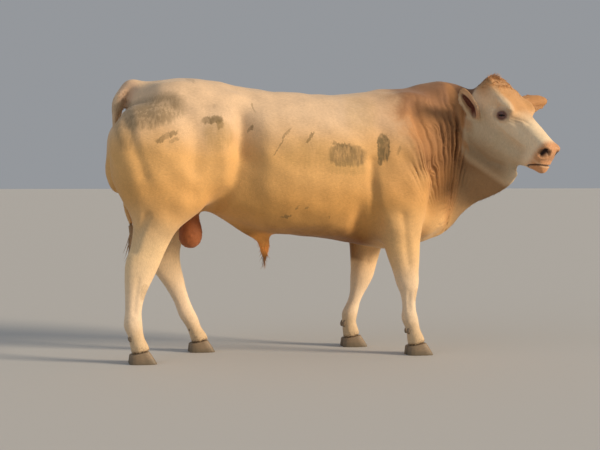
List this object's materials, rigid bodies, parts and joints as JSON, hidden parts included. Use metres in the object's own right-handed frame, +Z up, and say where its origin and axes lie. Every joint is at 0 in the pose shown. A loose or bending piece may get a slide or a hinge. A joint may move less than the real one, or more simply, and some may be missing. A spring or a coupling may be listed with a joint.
{
  "type": "blonde d aquitaine bull",
  "caption": "Standing polled beef bull, heavy muscled body on straight legs, head turned to its right, tail hanging behind.",
  "frame": {"origin": "middle of the bounding box on the floor, between the hooves", "axes": "+X from tail to head, +Y to the bull's left, +Z up"},
  "size_m": [2.6122, 0.9376, 1.6027],
  "materials": {
    "coat": "short flat cream hair, soft sheen",
    "neck_coat": "short reddish brown hair over folded skin",
    "leg_coat": "short pale cream hair",
    "bare_skin": "thin haired pink-orange skin",
    "long_hair": "long wavy brown hair",
    "horn": "ringed horn, worn and dusty",
    "eye": "wet dark eye"
  },
  "bodies": {
    "root": {"claw_fore_left_left": "horn", "claw_fore_left_right": "horn", "claw_fore_right_left": "horn", "claw_fore_right_right": "horn", "claw_hind_left_left": "horn", "claw_hind_left_right": "horn", "claw_hind_right_left": "horn", "claw_hind_right_right": "horn", "dewclaw_fore_left_left": "horn", "dewclaw_fore_left_right": "horn", "dewclaw_fore_right_left": "horn", "dewclaw_fore_right_right": "horn", "dewclaw_hind_left_left": "horn", "dewclaw_hind_left_right": "horn", "dewclaw_hind_right_left": "horn", "dewclaw_hind_right_right": "horn", "ear_left": "coat", "ear_right": "coat", "eye_left": "eye", "eye_right": "eye", "foreleg_lower_left": "leg_coat", "foreleg_lower_right": "leg_coat", "foreleg_upper_left": "leg_coat", "foreleg_upper_right": "leg_coat", "head": "coat", "hindleg_lower_left": "leg_coat", "hindleg_lower_right": "leg_coat", "hindleg_upper_left": "leg_coat", "hindleg_upper_right": "leg_coat", "neck": "neck_coat", "scrotum": "bare_skin", "sheath": "bare_skin", "tail": "coat", "tail_switch": "long_hair", "torso": "coat"}
  },
  "joints": []
}
